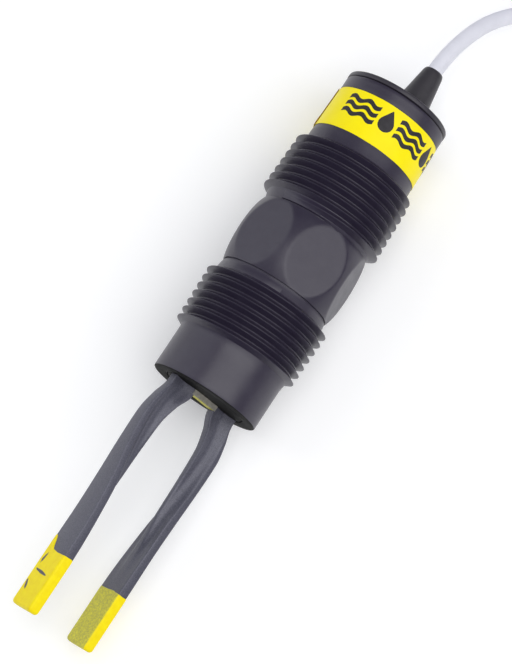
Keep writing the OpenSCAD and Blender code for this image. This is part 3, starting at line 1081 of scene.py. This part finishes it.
def coat_ring(grow, edge):
    """The coat's outline at one height: a rounded rectangle round the blade."""
    outer, inner = BLADE_OUTER + grow, BLADE_INNER - grow
    half = BLADE_W / 2 + grow
    corners = [(outer, -half), (outer, half), (inner, half), (inner, -half)]
    ring = []
    for a, b, steps in zip(corners, corners[1:] + corners[:1], COAT_STEPS):
        for s in range(steps):
            t = s / steps
            ring.append((a[0] + (b[0] - a[0]) * t, a[1] + (b[1] - a[1]) * t))
    middle = ((outer + inner) / 2, 0)
    wide = (outer - inner) / 2 - edge, half - edge
    out = []
    for x, y in ring:
        dx, dy = x - middle[0], y - middle[1]
        cx, cy = max(-wide[0], min(wide[0], dx)), max(-wide[1], min(wide[1], dy))
        away = Vector((dx - cx, dy - cy))
        if away.length > 1e-6:
            away = away.normalized() * edge
        out.append((middle[0] + cx + away.x, cy + away.y))
    return out


def add_tip_coat(name, node, half_turn, tongue):
    """A dipped coat on one tip, with a wavy top edge and soft lower corners. tongue is (rise,
    side): it lifts the top edge of the outer face, towards y times side."""
    points, faces, sections = [], [], []
    rise, side = tongue
    phase = rng.uniform(0, 6)
    count = len(coat_ring(COAT_T, COAT_EDGE))
    heights = []
    for x, y in coat_ring(COAT_T, COAT_EDGE):
        raised = ease((y * side - 1.2) / 2.0) * ease((x - 6.6) / 1.2)
        wave = 0.1 * math.sin(0.9 * y + phase) + 0.03 * math.sin(2.3 * (x + y) + phase)
        heights.append(coat_z - 0.15 + wave + rise * raised)
    for grow, drop in ((-0.05, 0), (0.05, 0.02), (0.11, 0.12), (COAT_T, 0.35)):
        ring = coat_ring(grow, 0.3 + grow)
        sections.append([
            fork_point(x, y, h - drop, half_turn) for (x, y), h in zip(ring, heights)
        ])
    rows = 10
    z_low = tip_z + TIP_ROUND
    for k in range(rows + 1):
        t = k / rows
        ring = coat_ring(COAT_T, SIDE_EDGE)
        sections.append([
            fork_point(x, y, (h - 0.9) * (1 - t) + z_low * t, half_turn)
            for (x, y), h in zip(ring, heights)
        ])
    round_steps = 6
    for k in range(1, round_steps + 1):
        a = math.pi / 2 * k / round_steps
        shrink = 0.6 * (1 - math.cos(a))
        ring = coat_ring(COAT_T - shrink, SIDE_EDGE - shrink * 0.3)
        z = z_low - TIP_ROUND * math.sin(a)
        sections.append([fork_point(x, y, z, half_turn) for x, y in ring])
    loft(points, faces, sections)
    # Coat faces on the blade's inner side, facing the other tine, get the olive: painted shade.
    inks = []
    outline = coat_ring(COAT_T, COAT_EDGE)
    for face in faces:
        if len(face) > 4:
            inks.append(0)
            continue
        x = [outline[v % count][0] for v in face]
        inks.append(1 if max(x) < BLADE_INNER - COAT_T + 0.25 else 0)
    add_mesh(name, points, faces, [tip_yellow, olive_painted_shade_and_highlight], [node],
             inks=inks, sharp=50)


def add_chips(name, node, half_turn, chips):
    """Dark spots on a tip's outer face where the coat has flaked. Each is a ragged strip from
    one y and z to another, with a width."""
    points, faces = [], []
    outer = BLADE_OUTER + COAT_T
    count = 14
    for y0, z0, y1, z1, wide in chips:
        start, end = Vector((y0, z0)), Vector((y1, z1))
        along = (end - start).normalized()
        across = Vector((-along.y, along.x))
        middle, reach = (start + end) / 2, (end - start).length / 2
        ragged = [rng.uniform(0.65, 1.1) for _ in range(count)]
        rings = []
        for x in (outer - 0.05, outer + 0.02):
            ring = []
            for k in range(count):
                a = math.tau * k / count
                spot = middle + ragged[k] * (
                    along * reach * math.cos(a) + across * wide / 2 * math.sin(a)
                )
                ring.append(fork_point(x, spot.x, spot.y, half_turn))
            rings.append(ring)
        loft(points, faces, rings)
    add_mesh(name, points, faces, [tip_chip], [node])


add_fork()
add_tip_coat("dipped_tip_a", "tip_coat_a", False, (0.0, 1))
add_tip_coat("dipped_tip_b", "tip_coat_b", True, (2.8, -1))
add_chips("coat_chips", "tip_coat_b", True, [
    (-1.9, -40.7, -2.5, -43.1, 0.7), (-3.1, -44.3, 1.7, -44.8, 0.75),
    (-2.9, -46.9, -1.9, -48.9, 0.8),
])


# ---------------------------------------------------------------- pieces kept from the CAD

def paint(node, material):
    """Gives a CAD node a material."""
    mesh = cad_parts[node].data
    mesh.materials.clear()
    mesh.materials.append(material)


def paint_inside():
    """The pieces sealed inside the housing."""
    brass = make_material(
        "turned_brass", (0.72, 0.5, 0.2), 0.3, grain=(0.15, 0.004),
        mottle=((0.6, 0.42, 0.17), 1.0, 0.4), Metallic=1,
    )
    steel = make_material(
        "turned_steel", (0.55, 0.55, 0.57), 0.3, grain=(0.12, 0.004),
        mottle=((0.45, 0.45, 0.48), 1.0, 0.4), Metallic=1,
    )
    ceramic = make_material(
        "white_ceramic", (0.82, 0.79, 0.7), 0.55, grain=(0.1, 0.004),
        mottle=((0.76, 0.72, 0.62), 0.8, 0.4),
    )
    piezo = make_material(
        "piezo_ceramic", (0.3, 0.27, 0.23), 0.6, grain=(0.08, 0.004),
        mottle=((0.24, 0.21, 0.18), 0.5, 0.4),
    )
    seal = make_material(
        "seal_rubber", (0.02, 0.02, 0.02), 0.55, grain=(0.15, 0.004),
        mottle=((0.03, 0.03, 0.03), 0.8, 0.4),
    )
    holder = make_material(
        "holder_plastic", (0.72, 0.69, 0.6), 0.5, grain=(0.2, 0.004),
        mottle=((0.66, 0.63, 0.54), 1.5, 0.4),
    )
    board = make_material(
        "board_mask", (0.015, 0.14, 0.05), 0.3, grain=(0.25, 0.003),
        mottle=((0.02, 0.19, 0.07), 1.2, 0.15),
    )
    package = make_material(
        "package_black", (0.02, 0.02, 0.023), 0.5, grain=(0.1, 0.004),
        mottle=((0.032, 0.032, 0.035), 0.7, 0.4),
    )
    sleeve = make_material(
        "capacitor_sleeve", (0.04, 0.06, 0.2), 0.3, grain=(0.3, 0.002),
        mottle=((0.05, 0.08, 0.25), 1.0, 0.4),
    )
    header = make_material(
        "header_green", (0.05, 0.3, 0.1), 0.45, grain=(0.2, 0.004),
        mottle=((0.04, 0.24, 0.08), 1.0, 0.4),
    )
    resin = make_material(
        "potting_resin", (0.02, 0.02, 0.024), 0.2, grain=(1.5, 0.02),
        mottle=((0.03, 0.03, 0.034), 2.0, 0.4),
    )
    for nodes, material in (
        (["fork_nut", "lower_electrode", "middle_electrode", "upper_electrode"], brass),
        (["back_mass", "spring_washer", "preload_bolt"], steel),
        (["lower_insulator", "upper_insulator"], ceramic),
        (["drive_piezo", "sense_piezo"], piezo),
        (["fork_seal"], seal),
        (["board_holder"], holder),
        (["circuit_board"], board),
        (["driver_chip", "output_switch"], package),
        (["filter_capacitor"], sleeve),
        (["wire_header"], header),
        (["potting"], resin),
        (["cable_entry"], jacket_white),
    ):
        for node in nodes:
            paint(node, material)


paint_inside()


# ---------------------------------------------------------------- floor and lights

def add_floor():
    """A plain pale floor."""
    size = 1.5
    mesh = bpy.data.meshes.new("floor")
    mesh.from_pydata([(-size, -size, 0), (size, -size, 0), (size, size, 0), (-size, size, 0)],
                     [], [(0, 1, 2, 3)])
    floor = bpy.data.objects.new("floor", mesh)
    mesh.materials.append(make_material(
        "floor_pale", (0.86, 0.86, 0.865), 0.9,
        Emission_Color=(1, 1, 1, 1), Emission_Strength=0.2,
    ))
    bpy.context.collection.objects.link(floor)


def add_softbox(name, place, size, watts, colour):
    """An area light that faces the probe."""
    light = bpy.data.lights.new(name, "AREA")
    light.shape = "RECTANGLE"
    light.size, light.size_y = size
    light.energy = watts
    light.color = colour
    lamp = bpy.data.objects.new(name, light)
    lamp.location = place
    lamp.rotation_euler = (Vector(PROBE_MIDDLE) - place).to_track_quat("-Z", "Y").to_euler()
    bpy.context.collection.objects.link(lamp)


SOFTBOX_AWAY = 0.6
PROBE_MIDDLE = (0, 0.01, 0.01)
WORLD_STRENGTH = 0.3
# Name, lean from straight up towards +x and spread in degrees, length along the probe,
# brightness and colour.
SOFTBOXES = [
    ("key", 24, 62, 0.9, 1.3, (1, 1, 1)),
    ("core", 17, 24, 0.9, 1.5, (1, 1, 1)),
    ("side", -64, 38, 0.9, 1.2, (0.95, 0.97, 1)),
]


def add_lights():
    """A dim pale sky and the softboxes."""
    world = bpy.data.worlds.new("studio")
    bpy.context.scene.world = world
    world.use_nodes = True
    backdrop = world.node_tree.nodes["Background"]
    backdrop.inputs["Color"].default_value = (0.93, 0.95, 1, 1)
    backdrop.inputs["Strength"].default_value = WORLD_STRENGTH
    for name, lean, spread, length, glow, colour in SOFTBOXES:
        lean = math.radians(lean)
        place = Vector((math.sin(lean), 0.03, math.cos(lean))) * SOFTBOX_AWAY
        size = (2 * SOFTBOX_AWAY * math.tan(math.radians(spread) / 2), length)
        add_softbox(name, place, size, glow * math.pi * size[0] * size[1], colour)


add_floor()
add_lights()
bpy.context.scene.view_settings.view_transform = "Standard"
